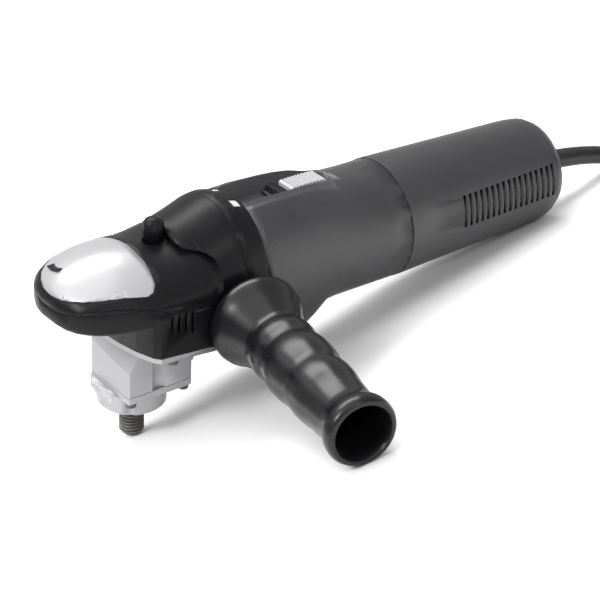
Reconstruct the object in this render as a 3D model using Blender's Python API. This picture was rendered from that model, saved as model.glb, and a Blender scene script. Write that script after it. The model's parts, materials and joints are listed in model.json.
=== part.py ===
"""Rotary polisher: an angle-drive tool with a side grip, at rest on the floor.

Everything but the cord is drawn in the tool's own axes, in millimetres. X runs back along the
motor, Z runs up the spindle, and the end of the spindle is the origin. The empty "tool" then
leans the whole tool onto the three points that it lies on.
"""

from math import atan, cos, pi, radians, sin

import bmesh
import bpy
from mathutils import Matrix, Vector

MM = 0.001
GAP = 0.3  # clear space kept between neighbouring pieces

# How the tool lies: on the spindle's end, the grip's end and the tail of the housing.
LEAN_SIDE = 18.061  # about the motor axis, towards the grip
LEAN_BACK = 10.427  # tail down
TOOL_ORIGIN = (-161.62, 84.04, 2.056)  # the spindle's end, in the part's frame

# Driving dimensions of the drive line.
MOTOR_Z = 84.8  # height of the motor axis over the spindle's end
COUNTER_Z = 62.0  # height of the countershaft, under the motor axis
THREAD_R = 7.0  # M14
SPINDLE_R = 7.5
CROWN_TEETH = 26
BEVEL_TEETH = 10
MOTOR_TEETH = 7
COUNTER_TEETH = 28
SMALL_TEETH = 14
FINAL_TEETH = 26
LOCK_X = 13.4  # the spindle lock's pin, behind the spindle

# Driving dimensions of the housings.
WALL = 2.6
BODY_R = 35.0  # motor housing where it meets the rear housing
SEAM_X = 168.0
TAIL_X = 290.0
TAIL_R = 31.4
NOSE_REACH = 53.0
HEAD_HALF_WIDTH = 39.5
HEAD_Z = 97.0
# Rows of X and the height of the head above HEAD_Z.
HEAD_RISE = (
    (-53.0, 22.8),
    (-22.0, 22.4),
    (-4.0, 20.6),
    (8.0, 18.4),
    (16.0, 19.8),
    (24.0, 22.2),
    (60.0, 22.4),
)
HEAD_DROP = 11.8
SKIRT_Z = 66.0
SKIRT_SLOPE = -0.09  # the skirt hangs lower towards the tail
BAND_X = (48.5, 63.7)
VENT_SLOTS = 17
VENT_PITCH = 4.4
VENT_FIRST_X = 208.6

# The side grip screws into the gear housing on this line, leaning a little forward.
GRIP_ROOT = Vector((56.9, 0.0, 77.1))
GRIP_LINE = Vector((-0.1893, -0.9819, 0.0))

# The cord: its route in metres in the part's frame, and its coil.
CORD_R = 4.0
COIL_CENTRE = (262.0, -8.0)
COIL_MID_R = 46.0
COIL_THICK = 32.0
CORD_ROUTE = (
    (0.1966, 0.0582, 0.0092),
    (0.2040, 0.0583, 0.0062),
    (0.2120, 0.0583, 0.0045),
    (0.2240, 0.0583, 0.0042),
    (0.2420, 0.0583, 0.0042),
    (0.2620, 0.0583, 0.0042),
)

TOOL = None


def clear_scene():
    for old in list(bpy.data.objects):
        bpy.data.objects.remove(old, do_unlink=True)


def material(name, colour, roughness, metallic=0.0):
    made = bpy.data.materials.get(name) or bpy.data.materials.new(name)
    made.use_nodes = True
    made.diffuse_color = (*colour, 1.0)
    shader = made.node_tree.nodes["Principled BSDF"]
    shader.inputs["Base Color"].default_value = (*colour, 1.0)
    shader.inputs["Roughness"].default_value = roughness
    shader.inputs["Metallic"].default_value = metallic
    return made


def black_plastic():
    return material("black_plastic", (0.018, 0.018, 0.020), 0.45)


def textured_plastic():
    return material("textured_plastic", (0.035, 0.035, 0.038), 0.60)


def cast_aluminium():
    return material("cast_aluminium", (0.70, 0.71, 0.72), 0.42, 0.9)


def silver_paint():
    return material("silver_paint", (0.78, 0.79, 0.80), 0.25, 0.3)


def dark_steel():
    return material("dark_steel", (0.06, 0.06, 0.065), 0.38, 0.9)


def bright_steel():
    return material("bright_steel", (0.55, 0.56, 0.58), 0.28, 1.0)


def copper():
    return material("copper", (0.72, 0.33, 0.16), 0.35, 1.0)


def carbon():
    return material("carbon", (0.03, 0.03, 0.03), 0.7)


def rubber():
    return material("rubber", (0.02, 0.02, 0.021), 0.65)


def grey_plastic():
    return material("grey_plastic", (0.42, 0.43, 0.44), 0.5)


def lamp_plastic():
    return material("lamp_plastic", (0.80, 0.81, 0.80), 0.3)


def board_resin():
    return material("board_resin", (0.05, 0.09, 0.06), 0.6)


def make(name, mesh, finish, place=None, smooth=40):
    """An object on the tool, with its mesh in millimetres turned to metres."""
    mesh.transform(Matrix.Scale(MM, 4))
    mesh.shade_smooth()
    mesh.set_sharp_from_angle(angle=radians(smooth))
    obj = bpy.data.objects.new(name, mesh)
    bpy.context.scene.collection.objects.link(obj)
    obj.parent = TOOL
    if place is not None:
        moved = place.copy()
        moved.translation = place.translation * MM
        obj.matrix_local = moved
    if finish is None:
        obj.hide_render = True
        obj.display_type = "WIRE"
    else:
        mesh.materials.append(finish)
    return obj


def mesh_from(name, points, faces):
    mesh = bpy.data.meshes.new(name)
    mesh.from_pydata([tuple(p) for p in points], [], faces)
    shape = bmesh.new()
    shape.from_mesh(mesh)
    bmesh.ops.recalc_face_normals(shape, faces=shape.faces)
    shape.to_mesh(mesh)
    shape.free()
    return mesh


def loft(name, rings, finish=None, place=None, smooth=40):
    """A closed solid through rings that all have the same number of points."""
    count = len(rings[0])
    points = [p for ring in rings for p in ring]
    faces = [tuple(range(count))[::-1], tuple(range(len(points) - count, len(points)))]
    for low in range(0, len(points) - count, count):
        for i in range(count):
            j = (i + 1) % count
            faces.append((low + i, low + j, low + count + j, low + count + i))
    return make(name, mesh_from(name, points, faces), finish, place, smooth)


def turned(name, profile, finish=None, place=None, segments=28, smooth=40):
    """A profile of (radius, height) points turned about local Z; it may start and end at radius 0."""
    open_ended = profile[0][0] == 0 and profile[-1][0] == 0
    points, rows = [], []
    for radius, height in profile:
        if radius == 0:
            rows.append([len(points)] * segments)
            points.append((0, 0, height))
            continue
        rows.append([len(points) + i for i in range(segments)])
        for i in range(segments):
            turn = 2 * pi * i / segments
            points.append((radius * cos(turn), radius * sin(turn), height))
    pairs = list(zip(rows, rows[1:]))
    if not open_ended:
        pairs.append((rows[-1], rows[0]))
    faces = []
    for one, two in pairs:
        for i in range(segments):
            j = (i + 1) % segments
            corners = list(dict.fromkeys((one[i], one[j], two[j], two[i])))
            if len(corners) > 2:
                faces.append(tuple(corners))
    return make(name, mesh_from(name, points, faces), finish, place, smooth)


def prism(name, outline, low, high, finish=None, axis="Z", bevel=0.0, place=None):
    """An outline of two coordinates pushed along an axis; a bevel rounds its edges."""
    lift = {
        "X": lambda a, b, t: (t, a, b),
        "Y": lambda a, b, t: (a, t, b),
        "Z": lambda a, b, t: (a, b, t),
    }[axis]
    rings = [[lift(a, b, t) for a, b in outline] for t in (low, high)]
    obj = loft(name, rings, finish, place)
    if bevel:
        soften(obj, bevel)
    return obj


def box(name, low, high, finish=None, bevel=0.0, place=None):
    outline = [(low[0], low[1]), (high[0], low[1]), (high[0], high[1]), (low[0], high[1])]
    return prism(name, outline, low[2], high[2], finish, "Z", bevel, place)


def soften(obj, width, segments=2):
    bevel = obj.modifiers.new("soft_edges", "BEVEL")
    bevel.width = width * MM
    bevel.segments = segments
    bevel.limit_method = "ANGLE"
    bevel.angle_limit = radians(40)


def combine(target, operation, *others):
    for other in others:
        step = target.modifiers.new(other.name, "BOOLEAN")
        step.operation = operation
        step.object = other
    return target


def cut(target, *cutters):
    return combine(target, "DIFFERENCE", *cutters)


def join(target, *pieces):
    return combine(target, "UNION", *pieces)


def keep(target, *regions):
    return combine(target, "INTERSECT", *regions)


def at(x, y, z):
    return Matrix.Translation((x, y, z))


def along_x(x, y, z):
    """Places local Z along +X."""
    return at(x, y, z) @ Matrix.Rotation(pi / 2, 4, "Y")


def on_grip(distance, side=-1):
    """Places local Z along the grip's line, for the near side or its mirror image."""
    line = Vector((GRIP_LINE.x, -side * GRIP_LINE.y, 0.0))
    turn = line.to_track_quat("Z", "X").to_matrix().to_4x4()
    return Matrix.Translation(GRIP_ROOT + line * distance) @ turn


def rod(name, radius, low, high, finish=None, place=None, segments=20):
    profile = [(0, low), (radius, low), (radius, high), (0, high)]
    return turned(name, profile, finish, place, segments)


def ring(name, inner, outer, low, high, finish=None, place=None, segments=20):
    profile = [(inner, low), (outer, low), (outer, high), (inner, high)]
    return turned(name, profile, finish, place, segments)


def oval(x, half_width, top, bottom, middle, power=2.0, count=28, low_power=None):
    """A ring across X: an oval whose upper and lower halves have their own heights."""
    points = []
    for i in range(count):
        turn = 2 * pi * i / count
        c, s = cos(turn), sin(turn)
        reach = top - middle if s > 0 else middle - bottom
        bend = 2 / (power if s > 0 or low_power is None else low_power)
        y = half_width * abs(c) ** bend * (1 if c > 0 else -1)
        z = middle + reach * abs(s) ** bend * (1 if s > 0 else -1)
        points.append((x, y, z))
    return points


def blend(table, x):
    """Reads a table of (x, values...) rows at x along straight lines between the rows."""
    for one, two in zip(table, table[1:]):
        if x <= two[0]:
            part = max(0.0, (x - one[0]) / (two[0] - one[0]))
            return [a + (b - a) * part for a, b in zip(one[1:], two[1:])]
    return list(table[-1][1:])


# ---------------------------------------------------------------- spindle and bearing cover


def spindle():
    profile = [
        (0, 0.0),
        (THREAD_R - 1.2, 0.0),
        (THREAD_R, 1.2),
        (THREAD_R, 20.0),
        (8.6, 20.0),
        (8.6, 23.4),
        (SPINDLE_R, 23.7),
        (SPINDLE_R, 101.8),
        (5.0, 102.0),
        (5.0, 107.6),
        (0, 107.6),
    ]
    turned("spindle", profile, dark_steel(), segments=24)


def spindle_bearings():
    ring("lower_spindle_bearing", SPINDLE_R + GAP, 14.9, 24.2, 33.6, bright_steel())
    ring("upper_spindle_bearing", 5.0 + GAP, 8.2, 102.8, 107.4, bright_steel())


def rounded_outline(low, high, radii, steps=3):
    """A rectangle in plan whose four corners, from low X low Y round, have their own radii."""
    corners = [
        (low[0], low[1], pi),
        (high[0], low[1], 1.5 * pi),
        (high[0], high[1], 0.0),
        (low[0], high[1], 0.5 * pi),
    ]
    points = []
    for (x, y, start), radius in zip(corners, radii):
        cx = x + radius if x == low[0] else x - radius
        cy = y + radius if y == low[1] else y - radius
        for i in range(steps + 1):
            turn = start + i * pi / 2 / steps
            points.append((cx + radius * cos(turn), cy + radius * sin(turn)))
    return points


BLOCK_LOW = (-15.5, -20.0)
BLOCK_HIGH = (27.2, 20.0)
BLOCK_RADII = (1.2, 3.0, 4.0, 5.0)
COVER_SCREWS = ((-11.8, -16.3), (23.0, -16.0), (23.0, 16.0), (-11.4, 15.9))


def bearing_cover():
    outline = rounded_outline(BLOCK_LOW, BLOCK_HIGH, BLOCK_RADII)
    plate = prism("bearing_cover", outline, 31.0, 35.2, cast_aluminium(), bevel=0.5)
    boss = [(0, 20.6), (17.6, 20.6), (19.2, 22.2), (19.2, 32.0), (0, 32.0)]
    join(plate, turned("cover_boss", boss, segments=28))
    bulge = [(0, 21.6), (9.0, 21.6), (13.4, 24.6), (15.2, 29.0), (15.2, 32.5), (0, 32.5)]
    join(plate, turned("cover_bulge", bulge, None, at(-4.0, 7.6, 0), 20))
    bore = [(0, 18.0), (9.2, 18.0), (9.2, 23.7), (15.2, 23.7), (15.2, 40.0), (0, 40.0)]
    cut(plate, turned("cover_bore", bore, segments=28))
    for i, (x, y) in enumerate(COVER_SCREWS):
        cut(plate, rod(f"cover_flute_{i}", 3.8, 15.0, 30.99, None, at(x * 1.02, y * 1.02, 0), 12))
        cut(plate, rod(f"cover_hole_{i}", 2.4, 25.0, 40.0, None, at(x, y, 0), 10))


def screw(name, x, y, head_z, length, head_r=3.1, shank_r=2.0):
    """A socket-head screw pointing up, its head under head_z."""
    profile = [
        (0, -1.4),
        (1.6, -1.4),
        (1.6, -3.0),
        (head_r - 0.4, -3.0),
        (head_r, -2.6),
        (head_r, -GAP),
        (shank_r, -GAP),
        (shank_r, length),
        (0, length),
    ]
    turned(name, profile, dark_steel(), at(x, y, head_z), 10)


def cover_screws():
    for i, (x, y) in enumerate(COVER_SCREWS):
        screw(f"cover_screw_{i + 1}", x, y, 31.0, 15.0)


# ---------------------------------------------------------------- gear housing


def skirt_outline(inset=0.0, back=60.0):
    """The skirt in plan: a bowed front, sharp front corners and straight sides."""
    near = [(-18.0, 0.0), (-17.2, -12.0), (-14.6, -25.0), (-10.6, -35.6), (-7.6, -38.6)]
    half = [(x + inset, y * (38.6 - inset) / 38.6) for x, y in near]
    half.append((back, -38.6 + inset))
    return half + [(x, -y) for x, y in half[:0:-1]]


def sloped(name, outline, low, high, finish=None):
    """A plan outline pushed up from a floor that falls towards the tail."""
    rings = [[(x, y, low + SKIRT_SLOPE * x) for x, y in outline], [(x, y, high) for x, y in outline]]
    return loft(name, rings, finish)


def gear_block():
    outline = rounded_outline(BLOCK_LOW, BLOCK_HIGH, BLOCK_RADII)
    block = prism("gear_housing", outline, 35.5, 67.0, cast_aluminium())
    slope = [(-30, 50.5), (-17.6, 50.5), (-9.8, 62.0), (-9.8, 80), (-30, 80)]
    cut(block, loft("front_slope", [[(x - 0.11 * y, y, z) for x, z in slope] for y in (-40, 30)]))
    flare = [(15, 46.0), (27.1, 46.0), (28.2, 50.0), (33.6, 59.6)]
    flare += [(33.6, 61.2), (31.4, 61.2), (31.4, 65.0), (15, 65.0)]
    join(block, prism("rear_flare", flare, -19.4, 19.4, axis="Y"))
    cut(block, rod("side_scallop", 5.2, 30.0, 61.6, None, at(4.2, -22.8, 0), 20))
    return block


def gear_housing():
    """One casting: the block over the bearing cover, the flange, the crown chamber and the tail box."""
    body = gear_block()
    flange = [[(x, y, z + SKIRT_SLOPE * x) for x, y in skirt_outline(1.2, 30.0)] for z in (62.2, 65.6)]
    join(body, loft("flange", flange))
    chamber = [(0, 60.0), (14.0, 60.0), (14.0, 88.0), (24.0, 89.6), (30.0, 91.6), (31.0, 93.2), (31.0, 102.8)]
    chamber += [(25.0, 106.2), (12.0, 109.2), (0, 109.2)]
    join(body, turned("crown_chamber", chamber, segments=28))
    right = [(10.0, 66.6), (27.0, 76.0), (27.0, 98.0), (23.0, 101.4)]
    join(body, prism("tail_box", right + [(-y, z) for y, z in right[::-1]], 5.0, 78.0, axis="X"))
    sump = [(0, 40.6), (6.0, 40.6), (6.0, 44.0), (12.0, 45.0)]
    sump += [(12.0, 58.0), (23.4, 60.0), (23.4, 77.9), (0, 77.9)]
    join(body, turned("sump", sump, None, along_x(0, 0, COUNTER_Z)))
    for side in (-1, 1):
        join(body, rod(f"grip_boss_{side}", 11.0, 24.0, 43.4, None, on_grip(0, side), 24))
    spindle_room = [(0, 30.0), (15.2, 30.0), (15.2, 40.0), (8.1, 46.0), (8.1, 88.8), (18.0, 88.8)]
    spindle_room += [(28.4, 92.8), (28.4, 102.5), (8.5, 102.5), (8.5, 107.8), (0, 107.8)]
    cut(body, turned("spindle_room", spindle_room, segments=28))
    motor_room = [(0, 3.0), (12.6, 3.0), (12.6, 45.1), (17.2, 45.1), (17.2, 90.0), (0, 90.0)]
    cut(body, turned("motor_room", motor_room, None, along_x(0, 0, MOTOR_Z), 20))
    gear_room = [(0, 41.0), (4.3, 41.0), (4.3, 46.0), (9.9, 46.0)]
    gear_room += [(9.9, 60.2), (21.0, 62.0), (21.0, 90.0), (0, 90.0)]
    cut(body, turned("gear_room", gear_room, None, along_x(0, 0, COUNTER_Z), 24))
    lock_room = [(0, 98.0), (2.7, 98.0), (2.7, 104.0), (4.2, 104.0)]
    lock_room += [(4.2, 107.0), (4.6, 107.0), (4.6, 120.0), (0, 120.0)]
    cut(body, turned("lock_room", lock_room, None, at(LOCK_X, 0, 0), 20))
    for i, (x, y) in enumerate(COVER_SCREWS):
        cut(body, rod(f"block_hole_{i}", 2.3, 30.0, 47.6, None, at(x, y, 0), 10))
    for side in (-1, 1):
        cut(body, rod(f"flange_hole_{side}", 2.3, 55.0, 73.0, None, at(3.5, 33.4 * side, 0), 10))
        cut(body, rod(f"grip_bore_{side}", 4.4, 31.0, 50.0, None, on_grip(0, side), 16))
    return body


# ---------------------------------------------------------------- gears and shafts


def bevel_gear(name, teeth, cone, near, far, back, bore, finish, place, phase=0.0):
    """A straight bevel gear whose pitch cone has its tip at the local origin, opening up +Z."""
    tip, root = radians(1.9), radians(-2.6)
    steps = ((-0.34, root), (-0.13, tip), (0.13, tip), (0.34, root))

    def tooth_ring(length):
        points = []
        for tooth in range(teeth):
            for turn, lift in steps:
                angle = 2 * pi * (tooth + turn + phase) / teeth
                slope = cone + lift
                points.append(
                    (
                        length * sin(slope) * cos(angle),
                        length * sin(slope) * sin(angle),
                        length * cos(slope),
                    )
                )
        return points

    def flat_ring(radius, height):
        count = teeth * len(steps)
        turns = [2 * pi * (i / len(steps) - 0.375 + phase) / teeth for i in range(count)]
        return [(radius * cos(t), radius * sin(t), height) for t in turns]

    inner, outer = tooth_ring(near), tooth_ring(far)
    face_z = near * cos(cone - root)
    rim = far * sin(cone + root)
    rings = [flat_ring(bore, face_z), inner, outer, flat_ring(rim, back), flat_ring(bore, back)]
    count = len(inner)
    points = [p for row in rings for p in row]
    faces = []
    for k in range(len(rings)):
        low, high = k * count, (k + 1) % len(rings) * count
        for i in range(count):
            j = (i + 1) % count
            faces.append((low + i, low + j, high + j, high + i))
    return make(name, mesh_from(name, points, faces), finish, place, 30)


def spur_gear(name, teeth, pitch_r, low, high, bore, finish, place, phase=0.0):
    """A spur gear on local Z with thin straight-sided teeth."""
    module = 2 * pitch_r / teeth
    tip, root = pitch_r + 0.75 * module, pitch_r - 1.05 * module
    steps = ((-0.32, root), (-0.10, tip), (0.10, tip), (0.32, root))
    outer, inner = [], []
    for tooth in range(teeth):
        for turn, radius in steps:
            angle = 2 * pi * (tooth + turn + phase) / teeth
            outer.append((radius * cos(angle), radius * sin(angle)))
            inner.append((bore * cos(angle), bore * sin(angle)))
    levels = ((inner, low), (outer, low), (outer, high), (inner, high))
    rings = [[(x, y, z) for x, y in row] for row, z in levels]
    count = len(outer)
    points = [p for row in rings for p in row]
    faces = []
    for k in range(4):
        first, second = k * count, (k + 1) % 4 * count
        for i in range(count):
            j = (i + 1) % count
            faces.append((first + i, first + j, second + j, second + i))
    return make(name, mesh_from(name, points, faces), finish, place, 30)


def crown_gear():
    """Teeth down, its pitch cone's tip on the motor axis."""
    cone = atan(CROWN_TEETH / BEVEL_TEETH)
    place = at(0, 0, MOTOR_Z)
    bore = SPINDLE_R + GAP
    gear = bevel_gear("crown_gear", CROWN_TEETH, cone, 15.6, 27.4, 17.0, bore, bright_steel(), place)
    cut(gear, ring("lock_groove", LOCK_X - 2.8, LOCK_X + 2.8, 97.4, 110.0, segments=20))


def pitch_radius(teeth, others):
    """Pitch radius of a gear that shares the distance between the two shafts with its partner."""
    return (MOTOR_Z - COUNTER_Z) * teeth / (teeth + others)


def bevel_shaft():
    """Carries the bevel pinion in front and the final gear behind, in line with the motor."""
    place = along_x(0, 0, MOTOR_Z)
    shaft = rod("bevel_shaft", 5.0, 27.6, 65.0, bright_steel(), place, 20)
    cone = atan(BEVEL_TEETH / CROWN_TEETH)
    join(shaft, bevel_gear("bevel_pinion", BEVEL_TEETH, cone, 15.6, 27.2, 28.6, 3.0, None, place, 0.5))
    final_r = pitch_radius(FINAL_TEETH, SMALL_TEETH)
    spur_gear("final_gear", FINAL_TEETH, final_r, 47.5, 55.5, 5.0 + GAP, bright_steel(), place)
    ring("bevel_front_bearing", 5.0 + GAP, 12.2, 34.0, 43.0, bright_steel(), place)
    ring("bevel_rear_bearing", 5.0 + GAP, 9.5, 58.4, 64.6, bright_steel(), place)
    ring("inner_bracket", 9.5 + GAP, 16.8, 58.0, 65.0, cast_aluminium(), place)


def countershaft():
    """Under the bevel shaft: a small pinion in front and the large gear behind."""
    place = along_x(0, 0, COUNTER_Z)
    shaft = rod("countershaft", 4.0, 41.4, 87.6, bright_steel(), place, 20)
    small_r = pitch_radius(SMALL_TEETH, FINAL_TEETH)
    join(shaft, spur_gear("small_gear", SMALL_TEETH, small_r, 47.0, 56.0, 3.0, None, place, 0.5))
    large_r = pitch_radius(COUNTER_TEETH, MOTOR_TEETH)
    spur_gear("intermediate_gear", COUNTER_TEETH, large_r, 67.5, 76.0, 4.0 + GAP, bright_steel(), place)


def bearing_bracket():
    """The plate that closes the gear housing and carries the motor's front bearing."""
    right = [(12.0, 44.0), (20.0, 54.0), (23.0, 66.0), (23.0, 98.0), (17.0, 104.0)]
    outline = right + [(-y, z) for y, z in right[::-1]]
    plate = prism("bearing_bracket", outline, 78.4, 90.0, cast_aluminium(), "X")
    cut(plate, rod("bracket_bush", 4.3, 70.0, 88.4, None, along_x(0, 0, COUNTER_Z), 20))
    seat = [(0, 70.0), (7.0, 70.0), (7.0, 80.9), (11.3, 80.9), (11.3, 100.0), (0, 100.0)]
    cut(plate, turned("bracket_seat", seat, None, along_x(0, 0, MOTOR_Z), 24))


# ---------------------------------------------------------------- motor


def armature():
    place = along_x(0, 0, MOTOR_Z)
    profile = [
        (0, 66.4),
        (2.2, 66.4),
        (2.2, 78.0),
        (4.0, 79.0),
        (4.0, 198.0),
        (3.5, 198.0),
        (3.5, 208.0),
        (0, 208.0),
    ]
    shaft = turned("armature_shaft", profile, bright_steel(), place, 20)
    pitch_r = pitch_radius(MOTOR_TEETH, COUNTER_TEETH)
    join(shaft, spur_gear("motor_pinion", MOTOR_TEETH, pitch_r, 66.8, 77.0, 1.6, None, place, 0.5))
    core()
    commutator()
    fan()


def core():
    """The laminated core, with a slot under each winding."""
    slots = 12
    outer = []
    for i in range(slots):
        for part, radius in ((-0.34, 20.4), (0.0, 20.4), (0.34, 20.4), (0.42, 16.4), (0.58, 16.4)):
            turn = 2 * pi * (i + part) / slots
            outer.append((radius * cos(turn), radius * sin(turn)))
    body = prism("armature_core", outer, 114.0, 164.0, dark_steel(), place=along_x(0, 0, MOTOR_Z))
    cut(body, rod("core_bore", 4.0 + GAP, 100.0, 180.0, None, along_x(0, 0, MOTOR_Z), 20))


def commutator():
    bars = 16
    outer = []
    for i in range(bars):
        for part, radius in ((-0.40, 11.8), (0.40, 11.8), (0.44, 11.0), (0.56, 11.0)):
            turn = 2 * pi * (i + part) / bars
            outer.append((radius * cos(turn), radius * sin(turn)))
    body = prism("commutator", outer, 176.0, 192.0, copper(), place=along_x(0, 0, MOTOR_Z))
    cut(body, rod("commutator_bore", 4.0 + GAP, 170.0, 200.0, None, along_x(0, 0, MOTOR_Z), 20))


def fan():
    """A disc with a hub and flat blades."""
    place = along_x(0, 0, MOTOR_Z)
    hub = [(4.3, 91.0), (26.6, 91.0), (26.6, 93.2), (9.0, 93.2), (8.0, 102.0), (4.3, 102.0)]
    wheel = turned("cooling_fan", hub, black_plastic(), place, 24)
    for i in range(7):
        turn = Matrix.Rotation(2 * pi * i / 7, 4, "Z") @ at(0, 0, 97) @ Matrix.Rotation(radians(20), 4, "X")
        join(wheel, box(f"fan_blade_{i}", (7.4, -0.7, -5.0), (26.0, 0.7, 4.6), None, 0, place @ turn))


def motor_bearings():
    place = along_x(0, 0, MOTOR_Z)
    ring("front_motor_bearing", 4.0 + GAP, 11.0, 81.2, 89.2, bright_steel(), place)
    ring("rear_motor_bearing", 3.5 + GAP, 10.0, 199.0, 207.0, bright_steel(), place)
    plate = ring("rear_bearing_bracket", 10.0 + GAP, 27.5, 196.0, 208.0, black_plastic(), place, 24)
    shoulder = [(20.0, 190.0), (40.0, 190.0), (40.0, 204.0), (20.0, 204.0)]
    cut(plate, turned("bracket_step", shoulder, None, place, 24))


def stator():
    """The field core with its two pole faces, and the coil heads in front and behind."""
    place = along_x(0, 0, MOTOR_Z)
    body = ring("stator_core", 24.4, 28.4, 112.4, 166.0, dark_steel(), place, 28)
    for side in (-1, 1):
        shoe = box(f"pole_{side}", (-13.0, 15.0, 113.0), (13.0, 26.0, 165.0), None, 0, place)
        shoe.data.transform(Matrix.Rotation(pi / 2 * (1 - side), 4, "Z"))
        join(body, shoe)
    cut(body, rod("stator_bore", 21.2, 100.0, 180.0, None, place, 28))
    for name, low in (("front_field_coil", 104.4), ("rear_field_coil", 166.6)):
        profile = [
            (23.0, low + 1.5),
            (24.5, low),
            (28.2, low + 1.5),
            (28.2, low + 7.4),
            (23.0, low + 7.4),
        ]
        turned(name, profile, copper(), place, 24)


def brushes():
    """A holder, a carbon block and its spring on each side of the commutator."""
    for name, side in (("left", 1), ("right", -1)):
        place = at(184.0, 0, MOTOR_Z) @ Matrix.Rotation(-side * pi / 2, 4, "X")
        holder = box(f"brush_holder_{name}", (-6.4, -5.4, 13.2), (6.4, 5.4, 28.6), black_plastic(), 0, place)
        cut(holder, box(f"brush_bore_{name}", (-4.1, -3.1, 10.0), (4.1, 3.1, 26.6), None, 0, place))
        box(f"carbon_brush_{name}", (-3.8, -2.8, 12.1), (3.8, 2.8, 20.0), carbon(), 0, place)
        coil_spring(f"brush_spring_{name}", 2.0, 0.35, 20.8, 25.8, 3, place)


def coil_spring(name, radius, wire, low, high, turns, place):
    """A helix of round wire about local Z, closed at both ends."""
    steps, sides = turns * 8, 5
    rings = []
    for i in range(steps + 1):
        turn = 2 * pi * turns * i / steps
        middle = Vector((radius * cos(turn), radius * sin(turn), low + (high - low) * i / steps))
        out = Vector((cos(turn), sin(turn), 0))
        up = Vector((0, 0, 1))
        angles = [2 * pi * k / sides for k in range(sides)]
        rings.append([middle + (out * cos(a) + up * sin(a)) * wire for a in angles])
    loft(name, rings, bright_steel(), place)


# ---------------------------------------------------------------- head covers


def nose_share(x, power):
    """1 over the spindle, falling to 0 at the tip of the nose."""
    forward = min(1.0, max(0.0, -x) / NOSE_REACH)
    return (1 - forward**power) ** (1 / power)


def head_shape(name, inset, back=60.0):
    """The pebble of the head; the inset shape hollows it."""
    rings = []
    stations = [-NOSE_REACH * cos(i * pi / 22) for i in range(11)] + [0.0, 8.0, 16.0, 24.0, back]
    for x in stations:
        x = max(x, -NOSE_REACH * 0.9985)
        half_width = (HEAD_HALF_WIDTH - inset) * nose_share(x, 2.6)
        rise = (blend(HEAD_RISE, x)[0] - inset) * nose_share(x, 2.1)
        drop = (HEAD_DROP - inset) * nose_share(x, 12.0)
        scale = (NOSE_REACH - inset) / NOSE_REACH if x < 0 else 1.0
        rings.append(oval(x * scale, half_width, HEAD_Z + rise, HEAD_Z - drop, HEAD_Z, 1.65, 28, 7.0))
    return loft(name, rings)


# The wavy seam round the head, seen from the side, from the nose back.
SEAM = (
    (-70, 94.6),
    (-53, 95.0),
    (-51.3, 97.2),
    (-46.5, 99.6),
    (-40, 101.1),
    (-32, 101.6),
    (-24, 100.9),
    (-15, 98.7),
    (-5, 95.6),
    (6, 93.6),
    (75, 93.0),
)
# The edge where the head covers meet the neck, from the top down.
NECK_EDGE = (
    (17.6, 150),
    (17.6, 118.2),
    (18.6, 116.6),
    (21.7, 116.0),
    (27.1, 114.8),
    (30.9, 112.9),
    (33.1, 110.3),
    (33.4, 107.0),
    (32.5, 102.0),
    (32.0, 98.0),
    (32.0, 30),
)


def side_region(name, line, close, width=60):
    """A solid seen from the side as the area between a line and the points that close it."""
    return prism(name, list(line) + list(close), -width, width, axis="Y")


def shifted(line, dx, dz):
    return [(x + dx, z + dz) for x, z in line]


def ahead_of_neck(name):
    return side_region(name, shifted(NECK_EDGE, -GAP / 2, 0), [(-90, 30), (-90, 150)])


CAP_EDGE = (
    (-75, 101.4),
    (-52.5, 101.8),
    (-47.3, 103.7),
    (-41.3, 104.9),
    (-34.0, 105.7),
    (-25.7, 106.0),
    (-17.0, 105.1),
    (-13.3, 104.7),
    (-9.4, 105.6),
    (-6.6, 107.7),
    (-5.2, 110.4),
    (-3.4, 114.0),
    (-3.2, 150),
)


def cap_region(name, grow):
    return side_region(name, shifted(CAP_EDGE, grow, -grow), [(-75, 150)])


def head_cover_upper():
    cover = head_shape("head_cover_upper", 0)
    give_finish(cover, black_plastic())
    cut(cover, head_shape("upper_hollow", WALL, 80))
    keep(cover, ahead_of_neck("upper_end"))
    above = side_region("above_seam", shifted(SEAM, 0, GAP / 2), [(75, 150), (-70, 150)])
    keep(cover, above)
    cut(cover, cap_region("cap_opening", GAP))
    cut(cover, rod("lock_opening", 6.2, 100, 150, None, at(LOCK_X, 0, 0), 24))


def give_finish(obj, finish):
    obj.data.materials.append(finish)
    obj.hide_render = False
    obj.display_type = "TEXTURED"


def front_cap():
    cap = head_shape("front_cap", 0)
    give_finish(cap, silver_paint())
    cut(cap, head_shape("cap_hollow", WALL, 80))
    keep(cap, cap_region("cap_limit", 0))


def head_cover_lower():
    cover = head_shape("head_cover_lower", 0)
    give_finish(cover, black_plastic())
    join(cover, sloped("skirt", skirt_outline(), SKIRT_Z, HEAD_Z - 2.7))
    cut(cover, head_shape("lower_hollow", WALL, 80))
    cut(cover, sloped("skirt_hollow", skirt_outline(WALL, 90.0), SKIRT_Z - 10, HEAD_Z - 1.3))
    keep(cover, ahead_of_neck("lower_end"))
    below = side_region("below_seam", shifted(SEAM, 0, -GAP / 2), [(75, 40), (-70, 40)])
    keep(cover, below)
    for side in (-1, 1):
        for i in range(4):
            x = -1.5 + 4.4 * i
            low = (x, min(30 * side, 45 * side), 80.5 - 0.3 * x)
            high = (x + 1.6, max(30 * side, 45 * side), 90.5)
            cut(cover, box(f"exhaust_{side}_{i}", low, high))


def flange_screws():
    for i, side in enumerate((-1, 1)):
        screw(f"flange_screw_{i + 1}", 3.5, 33.4 * side, 61.5, 9.0)


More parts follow.
